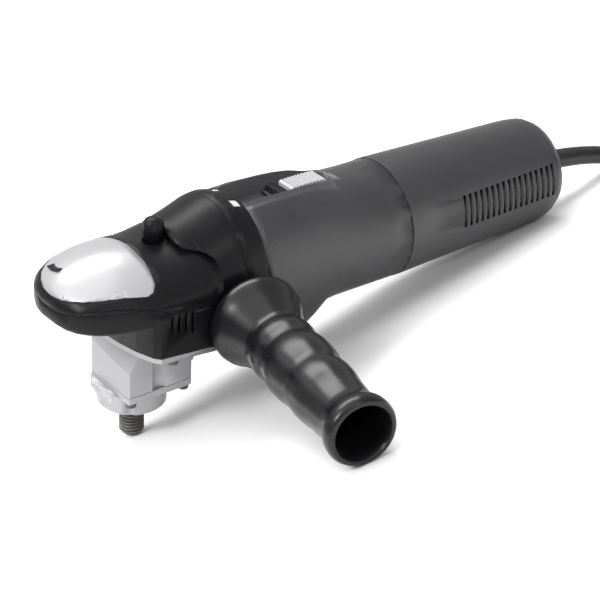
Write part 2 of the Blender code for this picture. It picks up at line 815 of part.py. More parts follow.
def spindle_lock():
    """A post on the head that pushes a pin into the groove in the crown gear's back."""
    place = at(LOCK_X, 0, 0)
    profile = [
        (0, 102.6),
        (1.8, 102.6),
        (2.2, 103.0),
        (2.2, 110.4),
        (4.3, 110.4),
        (4.3, 114.4),
        (5.6, 114.4),
        (5.6, 125.0),
        (4.8, 127.4),
        (2.6, 128.7),
        (0, 129.0),
    ]
    turned("spindle_lock_button", profile, black_plastic(), place, 20)
    coil_spring("spindle_lock_spring", 3.3, 0.4, 104.8, 109.6, 3, place)


# ---------------------------------------------------------------- neck and motor housing

# Rows of X, half width, top, bottom and roundness of the body behind the head.
BODY = (
    (8.0, 33.0, 117.0, 66.0, 2.05),
    (16.0, 34.2, 122.0, 64.0, 2.0),
    (22.0, 35.2, 123.6, 62.5, 2.0),
    (28.0, 36.4, 124.9, 62.3, 2.0),
    (34.0, 37.6, 126.4, 62.0, 2.0),
    (40.0, 38.5, 128.4, 53.0, 2.0),
    (48.0, 39.0, 131.2, 42.0, 2.05),
    (54.0, 38.8, 131.2, 38.0, 2.1),
    (62.0, 38.0, 129.2, 34.4, 2.15),
    (74.0, 37.0, 129.6, 33.0, 2.2),
    (94.0, 36.2, 129.0, 33.5, 2.15),
    (104.0, 35.9, 128.4, 38.0, 2.1),
    (114.0, 35.5, 127.0, 49.4, 2.05),
    (124.0, 35.2, 123.8, 49.8, 2.0),
    (138.0, 35.0, 120.6, 49.8, 2.0),
    (152.0, 35.0, 119.8, 49.8, 2.0),
    (190.0, BODY_R, MOTOR_Z + BODY_R, MOTOR_Z - BODY_R, 2.0),
)
BODY_STATIONS = (8, 16, 22, 28, 34, 40, 44, 48, 54, 62, 68, 74, 94, 104, 114, 124, 131, 138, 152, 190)
CHANNEL = ((60.5, 9.5), (66.0, 11.3), (97.0, 11.3), (112.0, 10.4), (124.0, 8.2), (131.0, 4.0))
CHANNEL_FLOOR = 119.0


def body_shape(name, inset, ceiling=200.0):
    rings = []
    for x in BODY_STATIONS:
        half_width, top, bottom, power = blend(BODY, x)
        top = min(top - inset, ceiling)
        rings.append(oval(x, half_width - inset, top, bottom + inset, MOTOR_Z, power))
    return loft(name, rings)


def across(name, low, high):
    return box(name, (low, -60, 20), (high, 60, 160))


def neck_cover():
    """The smooth shell over the gear housing's tail, with a seat for the grip on each side."""
    cover = body_shape("neck_cover", 0)
    give_finish(cover, black_plastic())
    for side in (-1, 1):
        join(cover, rod(f"grip_seat_{side}", 15.5, 24.0, 43.9, None, on_grip(0, side), 28))
    cut(cover, body_shape("neck_hollow", WALL))
    front, back = shifted(NECK_EDGE, GAP / 2, 0), BAND_X[0] - GAP / 2
    behind = side_region("behind_head", front, [(back, 30), (back, 150)])
    keep(cover, join(behind, lower_neck_region()))
    for side in (-1, 1):
        cut(cover, rod(f"seat_hole_{side}", 11.4, 20.0, 50.0, None, on_grip(0, side), 24))
    cut(cover, rod("lock_notch", 6.2, 90, 150, None, at(LOCK_X, 0, 0), 24))


def lower_neck_region():
    """Below the band the neck cover runs on to the motor housing."""
    back = BAND_X[1] - GAP / 2
    return side_region("neck_below_band", [(40, 30), (40, 88), (back, 88)], [(back, 30)])


def neck_band():
    band = body_shape("neck_band", 0.0)
    give_finish(band, black_plastic())
    cut(band, body_shape("band_hollow", WALL))
    keep(band, box("band_limit", (BAND_X[0] + GAP / 2, -60, 88.3), (BAND_X[1] - GAP / 2, 60, 160)))
    for name, side in (("left", 1), ("right", -1)):
        low, high = sorted((6.4 * side, 12.4 * side))
        cut(band, box(f"light_opening_{name}", (57.2, low, 110), (62.4, high, 150)))
        lens = body_shape(f"marker_light_{name}", 0.4)
        give_finish(lens, lamp_plastic())
        cut(lens, body_shape(f"lens_hollow_{name}", WALL))
        keep(lens, box(f"lens_limit_{name}", (57.5, low + GAP, 110), (62.1, high - GAP, 150)))


def motor_housing():
    """The grip-sized middle shell, with the switch channel in its top."""
    shell = body_shape("motor_housing", 0)
    give_finish(shell, textured_plastic())
    outline = list(CHANNEL) + [(x, -y) for x, y in CHANNEL[::-1]]
    cut(shell, prism("switch_channel", outline, CHANNEL_FLOOR, 150))
    cut(shell, body_shape("motor_hollow", WALL + 0.2, 116.2))
    cut(shell, box("slider_slot", (88.0, -2.3, 110), (113.0, 2.3, 125)))
    keep(shell, across("motor_span", BAND_X[1] + GAP / 2, SEAM_X - GAP / 2))


def switch():
    """The sliding switch: a carriage with a front ridge, a ribbed pad, a pull rod and the switch."""
    floor = CHANNEL_FLOOR + GAP
    carriage = box("switch_slider", (90.0, -6.4, floor), (125.0, 6.4, floor + 1.4), black_plastic())
    ridge = [(91.0, floor), (93.5, floor + 4.6), (97.5, floor + 4.2), (99.5, floor + 1.0), (99.5, floor)]
    join(carriage, prism("front_ridge", ridge, -6.4, 6.4, axis="Y"))
    join(carriage, box("slider_stem", (99.0, -1.9, 113.6), (102.5, 1.9, floor + 0.8)))
    pad = [(101.8, floor + 1.7), (101.8, floor + 4.0)]
    for i in range(10):
        x = 103.0 + 2.3 * i
        lift = 4.9 - 0.012 * (i - 3) ** 2
        pad += [(x, floor + lift), (x + 1.1, floor + lift)]
        pad += [(x + 1.5, floor + lift - 0.8), (x + 1.9, floor + lift - 0.8)]
    pad += [(126.0, floor + 3.2), (126.0, floor + 1.7)]
    prism("switch_pad", pad, -6.0, 6.0, grey_plastic(), "Y")
    rod("switch_rod", 1.0, 103.0, 211.0, bright_steel(), along_x(0, 0, 114.9), 12)
    box("switch_body", (221.6, -9.0, 99.0), (244.0, 9.0, 113.0), black_plastic(), 0.8)


# ---------------------------------------------------------------- rear housing


def rear_housing():
    """A turned tail with circumferential air slots on both sides."""
    front = SEAM_X + GAP / 2
    flat_r = 25.0
    outer = [(35.2, front), (35.2, front + 4), (TAIL_R + 0.2, TAIL_X - 14.0)]
    for i in range(1, 4):
        turn = i * pi / 6
        outer.append((flat_r + (TAIL_R - flat_r) * cos(turn), TAIL_X - 12.0 + 12.0 * sin(turn)))
    inner = [(7.4, TAIL_X), (7.4, TAIL_X - WALL), (flat_r - 2, TAIL_X - WALL), (TAIL_R - WALL, TAIL_X - 10)]
    inner.append((35.2 - WALL, front))
    shell = turned("rear_housing", outer + inner, textured_plastic(), along_x(0, 0, MOTOR_Z), 32)
    cut(shell, vent_slots())
    dial_hole = rod("dial_hole", 7.2, TAIL_X - 8, TAIL_X + 5, None, along_x(0, 0, MOTOR_Z + 17.4), 20)
    cut(shell, dial_hole)


def vent_slots():
    """All the slots of both sides, as one cutter."""
    points, faces = [], []
    width, low, high = 2.5, 81.0, 100.0
    for side in (-1, 1):
        for slot in range(VENT_SLOTS):
            x = VENT_FIRST_X + slot * VENT_PITCH
            first = len(points)
            left, right = x - width / 2, x + width / 2
            outline = [(left, low), (right, low), (right, high), (left, high)]
            for y in (side * 20, side * 45):
                points += [(a, y, z) for a, z in outline]
            faces += [(first, first + 1, first + 2, first + 3), (first + 7, first + 6, first + 5, first + 4)]
            for i in range(4):
                j = (i + 1) % 4
                faces.append((first + i, first + 4 + i, first + 4 + j, first + j))
    return make("vent_slots", mesh_from("vent_slots", points, faces), None)


def rear_fittings():
    box("electronics_module", (214.0, -17.0, 62.0), (262.0, 17.0, 86.0), board_resin(), 1.2)
    profile = [(0, 276.0), (3.0, 276.0), (3.0, 283.5), (6.8, 283.5), (6.8, 291.4), (6.2, 292.0), (0, 292.0)]
    turned("speed_dial", profile, grey_plastic(), along_x(0, 0, MOTOR_Z + 17.4), 16)
    clamp = box("cord_clamp", (270.0, -11.0, 76.0), (276.0, 11.0, 79.6), grey_plastic(), 0.8)
    join(clamp, box("clamp_foot", (271.0, -9.0, 60.5), (275.0, 9.0, 77.0)))


def droop(x):
    """Middle of the strain relief at x, sagging towards the floor."""
    sag = 8.6 * max(0.0, (x - TAIL_X) / 60.0) ** 2
    return Vector((x, -0.26 * sag, MOTOR_Z - 0.95 * sag))


def strain_relief():
    """A ribbed foot in the housing and a long taper that bends with the cord."""
    steps = (
        (282.4, 9.0),
        (286.9, 9.0),
        (286.9, 7.0),
        (291.0, 7.0),
        (291.6, 6.6),
        (300.0, 6.1),
        (310.0, 5.9),
        (320.0, 5.75),
        (330.0, 5.6),
        (340.0, 5.5),
        (350.6, 5.4),
    )
    rings = []
    for x, radius in steps:
        middle = droop(x)
        ahead = (droop(x + 1) - droop(x - 1)).normalized()
        side = Vector((0, 1, 0)).cross(ahead).normalized()
        over = ahead.cross(side)
        angles = [2 * pi * i / 16 for i in range(16)]
        rings.append([middle + (side * cos(a) + over * sin(a)) * radius for a in angles])
    loft("strain_relief", rings, rubber())


# ---------------------------------------------------------------- grip


def side_handle():
    """A hollow grip: trumpet flange, four soft swells and a rolled end."""
    outer = (
        (4.5, 45.4),
        (24.6, 45.4),
        (26.2, 47.0),
        (26.6, 49.4),
        (26.0, 52.4),
        (24.4, 55.6),
        (22.4, 60.6),
        (20.6, 66.0),
        (18.4, 71.0),
        (17.7, 74.4),
        (19.2, 80.0),
        (19.2, 85.0),
        (18.0, 90.7),
        (19.4, 97.0),
        (19.6, 108.0),
        (18.1, 118.6),
        (18.8, 125.0),
        (18.4, 136.0),
        (17.5, 140.8),
        (16.8, 156.4),
        (19.7, 163.4),
        (20.3, 167.0),
        (18.4, 171.6),
        (15.8, 171.6),
        (14.4, 166.4),
        (13.4, 108.4),
        (12.6, 80.4),
        (4.5, 80.4),
    )
    turned("side_handle", outer, black_plastic(), on_grip(0), 24)


def handle_bolt():
    profile = [(0, 32.0), (3.4, 32.0), (4.0, 32.8), (4.0, 80.8), (6.6, 80.8), (6.6, 86.0), (0, 86.0)]
    turned("handle_bolt", profile, bright_steel(), on_grip(0), 16)


# ---------------------------------------------------------------- cord


def smooth_route(route, spacing):
    """Points about spacing apart on a smooth curve through the route."""
    knots = [Vector(p) for p in route]
    knots = [knots[0] * 2 - knots[1], *knots, knots[-1] * 2 - knots[-2]]
    points = []
    for a, b, c, d in zip(knots, knots[1:], knots[2:], knots[3:]):
        steps = max(1, round((c - b).length / spacing))
        for i in range(steps):
            t = i / steps
            square, cube = 2 * a - 5 * b + 4 * c - d, 3 * b - a - 3 * c + d
            points.append(0.5 * (2 * b + (c - a) * t + square * t**2 + cube * t**3))
    return points + [knots[-2]]


def power_cord():
    curve = bpy.data.curves.new("power_cord", "CURVE")
    curve.dimensions = "3D"
    curve.bevel_depth = CORD_R * MM
    curve.bevel_resolution = 2
    curve.use_fill_caps = True
    points = smooth_route(CORD_ROUTE, 0.018)
    line = curve.splines.new("POLY")
    line.points.add(len(points) - 1)
    for spot, point in zip(line.points, points):
        spot.co = (*point, 1.0)
    obj = bpy.data.objects.new("power_cord", curve)
    bpy.context.scene.collection.objects.link(obj)
    curve.materials.append(rubber())


def cord_coil():
    half = COIL_THICK / 2
    inner, outer = COIL_MID_R - half, COIL_MID_R + half
    profile = [
        (inner, 8.0),
        (inner + 8, 0.2),
        (outer - 8, 0.2),
        (outer, 8.0),
        (outer, COIL_THICK - 8.0),
        (outer - 8, COIL_THICK),
        (inner + 8, COIL_THICK),
        (inner, COIL_THICK - 8.0),
    ]
    coil = turned("cord_coil", profile, rubber(), at(*COIL_CENTRE, 0), 24)
    coil.parent = None


def plug():
    """A two-pin plug lying along the coil's top turns."""
    place = at(COIL_CENTRE[0] + 33.0, COIL_CENTRE[1] - 40.0, COIL_THICK + 9.5)
    place = place @ Matrix.Rotation(pi, 4, "Z")
    sizes = ((0, 4.6, 4.6), (14, 6.5, 6.5), (18, 13.0, 8.0), (24, 16.5, 9.0))
    sizes += ((36, 18.0, 9.2), (46, 18.0, 9.2), (48, 17.0, 8.4))
    rings = [oval(x, wide, high, -high, 0, 2.8, 16) for x, wide, high in sizes]
    body = loft("plug", rings, rubber(), place)
    body.parent = None
    for side in (-1, 1):
        pin = rod(f"plug_pin_{side}", 2.4, 46.0, 67.0, None, place @ along_x(0, 9.5 * side, 0), 16)
        pin.parent = None
        join(body, pin)


def lean_tool():
    """The empty that carries the tool, laid on its three resting points."""
    global TOOL
    TOOL = bpy.data.objects.new("tool", None)
    bpy.context.scene.collection.objects.link(TOOL)
    turn = Matrix.Rotation(radians(LEAN_BACK), 4, "Y") @ Matrix.Rotation(radians(LEAN_SIDE), 4, "X")
    TOOL.matrix_world = Matrix.Translation(Vector(TOOL_ORIGIN) * MM) @ turn


def main():
    clear_scene()
    lean_tool()
    spindle()
    spindle_bearings()
    bearing_cover()
    cover_screws()
    gear_housing()
    crown_gear()
    bevel_shaft()
    countershaft()
    bearing_bracket()
    armature()
    motor_bearings()
    stator()
    brushes()
    head_cover_upper()
    front_cap()
    head_cover_lower()
    flange_screws()
    spindle_lock()
    neck_cover()
    neck_band()
    motor_housing()
    switch()
    rear_housing()
    rear_fittings()
    strain_relief()
    side_handle()
    handle_bolt()
    power_cord()
    cord_coil()
    plug()


main()
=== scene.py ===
import bpy
import json
from math import atan2, cos, radians, sin, tau
from mathutils import Matrix, Vector


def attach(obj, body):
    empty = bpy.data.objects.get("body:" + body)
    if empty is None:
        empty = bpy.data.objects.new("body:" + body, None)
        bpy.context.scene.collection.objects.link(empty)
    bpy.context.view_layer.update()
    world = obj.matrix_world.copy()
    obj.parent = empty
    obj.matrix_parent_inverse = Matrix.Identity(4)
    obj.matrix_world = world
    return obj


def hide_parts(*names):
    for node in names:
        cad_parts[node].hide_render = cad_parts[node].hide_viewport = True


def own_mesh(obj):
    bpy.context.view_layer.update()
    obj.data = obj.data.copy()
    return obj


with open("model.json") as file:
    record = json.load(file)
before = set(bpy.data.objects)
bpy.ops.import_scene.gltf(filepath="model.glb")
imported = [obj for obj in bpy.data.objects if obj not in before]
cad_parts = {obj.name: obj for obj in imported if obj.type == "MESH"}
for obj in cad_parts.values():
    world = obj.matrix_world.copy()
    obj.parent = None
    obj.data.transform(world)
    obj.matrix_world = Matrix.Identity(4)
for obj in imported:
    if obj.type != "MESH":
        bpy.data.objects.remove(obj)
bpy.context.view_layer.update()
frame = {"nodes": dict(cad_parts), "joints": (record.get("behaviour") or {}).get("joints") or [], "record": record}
nodes = frame["nodes"]
mm = 0.001
print("frame loaded:", len(nodes), "nodes")


def jointNamed(name):
    return next(joint for joint in frame["joints"] if joint["name"] == name)


def mountNamed(name):
    return next(mount for mount in frame["record"]["mounts"] if mount["name"] == name)


# The tool leans on its grip, so pieces are made upright in the tool's own millimetres and then laid down.
# Its x runs back along the motor, its z up along the spindle, and its origin is the spindle's end.
backward = Vector(jointNamed("armature_spin")["axis"]).normalized()
upward = Vector(jointNamed("spindle_spin")["axis"]).normalized()
sideways = upward.cross(backward).normalized()
toolFrame = Matrix((backward, sideways, upward)).transposed().to_4x4()
toolFrame.translation = Vector(mountNamed("spindle_end")["pos_m"])


def selectOnly(piece):
    if bpy.context.mode != "OBJECT":
        bpy.ops.object.mode_set(mode="OBJECT")
    bpy.ops.object.select_all(action="DESELECT")
    piece.select_set(True)
    bpy.context.view_layer.objects.active = piece


def startPiece(name):
    piece = bpy.context.active_object
    piece.name = name
    piece.data.name = name
    return piece


def layDown(piece, turn=None):
    # The piece goes from the tool's millimetres to the shared frame, and its place stays in the mesh.
    matrix = toolFrame @ Matrix.Scale(mm, 4) @ (turn or Matrix.Identity(4)) @ piece.matrix_world
    piece.data.transform(matrix)
    piece.matrix_world = Matrix.Identity(4)
    piece.data.update()
    return piece


def applyModifier(piece, kind, **settings):
    selectOnly(piece)
    modifier = piece.modifiers.new(kind.title(), kind)
    for key, value in settings.items():
        setattr(modifier, key, value)
    bpy.ops.object.modifier_apply(modifier=modifier.name)
    return piece


def smooth(piece, angle=35):
    selectOnly(piece)
    bpy.ops.object.shade_smooth_by_angle(angle=radians(angle))
    return piece


def dress(piece, body, material, slot, *replaced):
    piece.data.materials.clear()
    piece.data.materials.append(material)
    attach(piece, body)
    if replaced:
        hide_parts(*replaced)
    return piece


def tidyNormals(piece, mergeDistance=1e-5):
    selectOnly(piece)
    bpy.ops.object.mode_set(mode="EDIT")
    bpy.ops.mesh.select_all(action="SELECT")
    bpy.ops.mesh.remove_doubles(threshold=mergeDistance)
    bpy.ops.mesh.normals_make_consistent(inside=False)
    bpy.ops.object.mode_set(mode="OBJECT")
    return piece


def turnRows(name, rows, segments):
    # Each row is a radius and a height: a circle is drawn up row by row with extrude and resize.
    firstRadius, firstHeight = rows[0]
    bpy.ops.object.select_all(action="DESELECT")
    bpy.ops.mesh.primitive_circle_add(
        vertices=segments, radius=firstRadius, fill_type="NGON", location=(0, 0, 0)
    )
    piece = startPiece(name)
    bpy.ops.object.mode_set(mode="EDIT")
    bpy.ops.mesh.select_all(action="SELECT")
    bpy.ops.transform.translate(value=(0, 0, firstHeight))
    radius, height = firstRadius, firstHeight
    for nextRadius, nextHeight in rows[1:]:
        bpy.ops.mesh.extrude_region_move(TRANSFORM_OT_translate={"value": (0, 0, nextHeight - height)})
        ratio = nextRadius / radius
        bpy.ops.transform.resize(value=(ratio, ratio, 1), center_override=(0, 0, nextHeight))
        radius, height = nextRadius, nextHeight
    bpy.ops.object.mode_set(mode="OBJECT")
    return tidyNormals(piece)


def refinedCopy(node, name, angle=32):
    # This is a CAD node's own shape, merged so that its faces shade as one skin.
    piece = bpy.data.objects.new(name, nodes[node].data.copy())
    bpy.context.scene.collection.objects.link(piece)
    selectOnly(piece)
    bpy.ops.object.mode_set(mode="EDIT")
    bpy.ops.mesh.select_all(action="SELECT")
    bpy.ops.mesh.remove_doubles(threshold=2e-6)
    bpy.ops.object.mode_set(mode="OBJECT")
    return smooth(piece, angle)


view = {
    "place": (-0.7421, -1.0660, 0.5204),
    "right": (0.7501, -0.5923, -0.2942),
    "forward": (0.4931, 0.7973, -0.3481),
    "lens": 150.0,
}


def placeCamera():
    camera = bpy.data.cameras.new("studioCamera")
    camera.lens = view["lens"]
    camera.sensor_width = 36
    camera.clip_start = 0.05
    holder = bpy.data.objects.new("studioCamera", camera)
    bpy.context.scene.collection.objects.link(holder)
    right, forward = Vector(view["right"]).normalized(), Vector(view["forward"]).normalized()
    up = right.cross(forward).normalized()
    turn = Matrix((right, up, -forward)).transposed().to_4x4()
    holder.matrix_world = Matrix.Translation(view["place"]) @ turn
    bpy.context.scene.camera = holder


lights = {
    "topBox": {"place": (0.10, 0.35, 0.95), "aim": (0.02, 0, 0.08), "size": (0.9, 0.30), "power": 7.0},
    "keyBox": {"place": (-0.85, -0.10, 0.75), "aim": (-0.1, 0, 0.06), "size": (0.30, 0.30), "power": 5.5},
    "frontBox": {"place": (-0.10, -0.95, 0.62), "aim": (0.05, 0, 0.07), "size": (0.60, 0.16), "power": 2.4},
}
daylight = {"place": (-0.2, 0.1, 1.0), "strength": 1.55, "angle": 80, "room": 0.58}


def addLamp(name, kind, place, aim):
    lamp = bpy.data.lights.new(name, kind)
    holder = bpy.data.objects.new(name, lamp)
    bpy.context.scene.collection.objects.link(holder)
    holder.location = place
    away = Vector(place) - Vector(aim)
    holder.rotation_euler = away.to_track_quat("Z", "Y").to_euler()
    return lamp


def placeLights():
    for name, entry in lights.items():
        lamp = addLamp(name, "AREA", entry["place"], entry["aim"])
        lamp.shape = "RECTANGLE"
        lamp.size, lamp.size_y = entry["size"]
        lamp.energy = entry["power"]
    sky = addLamp("softDaylight", "SUN", daylight["place"], (0, 0, 0))
    sky.energy = daylight["strength"]
    sky.angle = radians(daylight["angle"])
    world = bpy.data.worlds.new("paleRoom")
    world.use_nodes = True
    world.node_tree.nodes["Background"].inputs["Color"].default_value = (1, 1, 1, 1)
    world.node_tree.nodes["Background"].inputs["Strength"].default_value = daylight["room"]
    bpy.context.scene.world = world
    bpy.context.scene.view_settings.view_transform = "Standard"


def layFloor():
    bpy.ops.object.select_all(action="DESELECT")
    bpy.ops.mesh.primitive_plane_add(size=30)
    floor = startPiece("studioFloor")
    material = bpy.data.materials.new("paleFloor")
    material.use_nodes = True
    shader = material.node_tree.nodes["Principled BSDF"]
    shader.inputs["Base Color"].default_value = (0.93, 0.93, 0.93, 1)
    shader.inputs["Roughness"].default_value = 0.9
    shader.inputs["Specular IOR Level"].default_value = 0.1
    floor.data.materials.append(material)


placeCamera()
placeLights()
layFloor()
print("camera, lights and floor are set")


def newGroup(name, inputs, outputs):
    group = bpy.data.node_groups.new(name, "ShaderNodeTree")
    for label, kind, value in inputs:
        socket = group.interface.new_socket(name=label, in_out="INPUT", socket_type=kind)
        socket.default_value = value
    for label, kind in outputs:
        group.interface.new_socket(name=label, in_out="OUTPUT", socket_type=kind)
    start = group.nodes.new("NodeGroupInput")
    end = group.nodes.new("NodeGroupOutput")
    return group, start, end


def noiseNode(tree, scaleSocket, coordinates, detail, roughness=0.5):
    noise = tree.nodes.new("ShaderNodeTexNoise")
    noise.inputs["Detail"].default_value = detail
    noise.inputs["Roughness"].default_value = roughness
    tree.links.new(coordinates, noise.inputs["Vector"])
    tree.links.new(scaleSocket, noise.inputs["Scale"])
    return noise.outputs["Fac"]


def makeGrainGroup():
    # Height is the tool mark, blast or mould grain; Tone is the slow change over the whole piece; the third output
    # marks light specks painted into the colour as glints off the grain.
    number = "NodeSocketFloat"
    inputs = [("Grain Scale", number, 2500.0), ("Tone Scale", number, 25.0), ("Speckle", number, 0.3)]
    outputs = [(label, number) for label in ("Height", "Tone", "PaintedGlint")]
    group, start, end = newGroup("surfaceGrain", inputs, outputs)
    place = group.nodes.new("ShaderNodeTexCoord").outputs["Object"]
    fine = noiseNode(group, start.outputs["Grain Scale"], place, 3.0, 0.6)
    cells = group.nodes.new("ShaderNodeTexVoronoi")
    group.links.new(place, cells.inputs["Vector"])
    group.links.new(start.outputs["Grain Scale"], cells.inputs["Scale"])
    mixed = group.nodes.new("ShaderNodeMix")
    group.links.new(start.outputs["Speckle"], mixed.inputs["Factor"])
    group.links.new(fine, mixed.inputs[2])
    group.links.new(cells.outputs["Distance"], mixed.inputs[3])
    group.links.new(mixed.outputs[0], end.inputs["Height"])
    slow = noiseNode(group, start.outputs["Tone Scale"], place, 4.0)
    group.links.new(slow, end.inputs["Tone"])
    # Painted glints: the highest grain specks are picked out to be coloured light.
    paintedGlint = group.nodes.new("ShaderNodeMapRange")
    paintedGlint.inputs["From Min"].default_value = 0.60
    paintedGlint.inputs["From Max"].default_value = 0.72
    group.links.new(fine, paintedGlint.inputs["Value"])
    group.links.new(paintedGlint.outputs["Result"], end.inputs["PaintedGlint"])
    return group


def makeWearGroup():
    # Mask is where corners have rubbed brighter, broken up so that it isn't an even line.
    number = "NodeSocketFloat"
    inputs = [("Start", number, 0.53), ("Full", number, 0.62), ("Break Scale", number, 120.0)]
    group, start, end = newGroup("edgeWear", inputs, [("Mask", number)])
    corner = group.nodes.new("ShaderNodeNewGeometry").outputs["Pointiness"]
    spread = group.nodes.new("ShaderNodeMapRange")
    group.links.new(corner, spread.inputs["Value"])
    group.links.new(start.outputs["Start"], spread.inputs["From Min"])
    group.links.new(start.outputs["Full"], spread.inputs["From Max"])
    place = group.nodes.new("ShaderNodeTexCoord").outputs["Object"]
    broken = noiseNode(group, start.outputs["Break Scale"], place, 3.0)
    product = group.nodes.new("ShaderNodeMath")
    product.operation = "MULTIPLY"
    group.links.new(spread.outputs["Result"], product.inputs[0])
    group.links.new(broken, product.inputs[1])
    group.links.new(product.outputs[0], end.inputs["Mask"])
    return group


grainGroup = makeGrainGroup()
wearGroup = makeWearGroup()


def mixColours(tree, factor, first, second):
    mix = tree.nodes.new("ShaderNodeMix")
    mix.data_type = "RGBA"
    tree.links.new(factor, mix.inputs[0])
    for socket, value in ((mix.inputs[6], first), (mix.inputs[7], second)):
        if isinstance(value, bpy.types.NodeSocket):
            tree.links.new(value, socket)
        else:
            socket.default_value = (*value, 1)
    return mix.outputs[2]


def makeFinish(name, settings):
    material = bpy.data.materials.new(name)
    material.use_nodes = True
    tree = material.node_tree
    shader = tree.nodes["Principled BSDF"]
    grain = tree.nodes.new("ShaderNodeGroup")
    grain.node_tree = grainGroup
    grain.inputs["Grain Scale"].default_value = settings["grainScale"]
    grain.inputs["Tone Scale"].default_value = settings.get("toneScale", 25.0)
    grain.inputs["Speckle"].default_value = settings.get("speckle", 0.3)
    colour = mixColours(tree, grain.outputs["Tone"], settings["dark"], settings["light"])
    # Painted glints: light specks are mixed into the colour where the grain would catch the light.
    if "paintedGlint" in settings:
        colour = mixColours(tree, grain.outputs["PaintedGlint"], colour, settings["paintedGlint"])
    if "worn" in settings:
        wear = tree.nodes.new("ShaderNodeGroup")
        wear.node_tree = wearGroup
        colour = mixColours(tree, wear.outputs["Mask"], colour, settings["worn"])
    tree.links.new(colour, shader.inputs["Base Color"])
    rough = tree.nodes.new("ShaderNodeMapRange")
    rough.inputs["To Min"].default_value, rough.inputs["To Max"].default_value = settings["roughness"]
    rough.inputs["From Min"].default_value, rough.inputs["From Max"].default_value = 0.3, 0.7
    tree.links.new(grain.outputs["Tone"], rough.inputs["Value"])
    tree.links.new(rough.outputs["Result"], shader.inputs["Roughness"])
    bump = tree.nodes.new("ShaderNodeBump")
    bump.inputs["Distance"].default_value = settings["grainDepth"]
    bump.inputs["Strength"].default_value = settings.get("grainStrength", 0.6)
    tree.links.new(grain.outputs["Height"], bump.inputs["Height"])
    if settings.get("edgeRadius"):
        edge = tree.nodes.new("ShaderNodeBevel")
        edge.samples = 4
        edge.inputs["Radius"].default_value = settings["edgeRadius"]
        tree.links.new(edge.outputs["Normal"], bump.inputs["Normal"])
    tree.links.new(bump.outputs["Normal"], shader.inputs["Normal"])
    shader.inputs["Metallic"].default_value = settings.get("metallic", 0.0)
    shader.inputs["Specular IOR Level"].default_value = settings.get("specular", 0.5)
    shader.inputs["Coat Weight"].default_value = settings.get("coat", 0.0)
    shader.inputs["Coat Roughness"].default_value = settings.get("coatRoughness", 0.1)
    return material


finishes = {
    "satinBlack": {
        "specular": 0.16, "dark": (0.004, 0.004, 0.005), "light": (0.007, 0.007, 0.008),
        "roughness": (0.34, 0.42), "grainScale": 2600, "grainDepth": 0.00002, "edgeRadius": 0.0006,
    },
    "mouldedGrain": {
        "specular": 0.55, "dark": (0.018, 0.018, 0.020), "light": (0.032, 0.032, 0.035),
        # The speck colour below is a painted glint, light specks standing in for light catching the grain.
        "paintedGlint": (0.065, 0.065, 0.07), "roughness": (0.34, 0.44), "grainScale": 1800, "speckle": 0.5,
        "grainDepth": 0.00010, "grainStrength": 1.0, "edgeRadius": 0.0006,
    },
    "gripBlack": {
        "specular": 0.34, "dark": (0.004, 0.004, 0.005), "light": (0.008, 0.008, 0.009),
        "worn": (0.02, 0.02, 0.02), "roughness": (0.24, 0.30), "grainScale": 2200, "grainDepth": 0.00002,
    },
    "blastedCasting": {
        "dark": (0.34, 0.34, 0.35), "light": (0.42, 0.42, 0.43), "roughness": (0.40, 0.50),
        "grainScale": 1700, "grainDepth": 0.00006, "metallic": 0.4, "edgeRadius": 0.0005,
    },
    "silverLacquer": {
        "dark": (0.36, 0.36, 0.37), "light": (0.42, 0.42, 0.43), "roughness": (0.28, 0.34),
        "grainScale": 3500, "grainDepth": 0.00001, "metallic": 0.3, "coat": 0.2, "edgeRadius": 0.0006,
    },
    "darkSteel": {
        "dark": (0.045, 0.044, 0.043), "light": (0.085, 0.083, 0.08), "worn": (0.32, 0.31, 0.30),
        "roughness": (0.28, 0.42), "grainScale": 2200, "grainDepth": 0.00002, "metallic": 0.9,
        "edgeRadius": 0.0002,
    },
    "brightSteel": {
        "dark": (0.48, 0.48, 0.49), "light": (0.60, 0.60, 0.61), "worn": (0.8, 0.8, 0.8),
        "roughness": (0.22, 0.34), "grainScale": 1800, "grainDepth": 0.00001, "metallic": 1.0,
    },
    "woundCopper": {
        "dark": (0.52, 0.21, 0.09), "light": (0.72, 0.33, 0.16), "roughness": (0.28, 0.42),
        "grainScale": 900, "grainDepth": 0.0001, "metallic": 0.9,
    },
    "brushCarbon": {
        "dark": (0.02, 0.02, 0.02), "light": (0.04, 0.04, 0.04), "roughness": (0.55, 0.7),
        "grainScale": 2500, "grainDepth": 0.00004,
    },
    "cordRubber": {
        "dark": (0.010, 0.010, 0.011), "light": (0.018, 0.018, 0.019), "roughness": (0.46, 0.6),
        "grainScale": 1400, "grainDepth": 0.00004,
    },
    "padGrey": {
        "dark": (0.34, 0.34, 0.35), "light": (0.42, 0.42, 0.43), "roughness": (0.42, 0.52),
        "grainScale": 2600, "grainDepth": 0.00002, "edgeRadius": 0.0002,
    },
    "milkyLens": {
        "dark": (0.50, 0.50, 0.50), "light": (0.58, 0.58, 0.58), "roughness": (0.16, 0.24),
        "grainScale": 3000, "grainDepth": 0.00001, "coat": 0.4, "edgeRadius": 0.0003,
    },
    "boardResin": {
        "dark": (0.03, 0.06, 0.04), "light": (0.05, 0.09, 0.06), "roughness": (0.35, 0.6),
        "grainScale": 700, "grainDepth": 0.0001,
    },
}
material = {name: makeFinish(name, settings) for name, settings in finishes.items()}
print("finishes:", len(material))

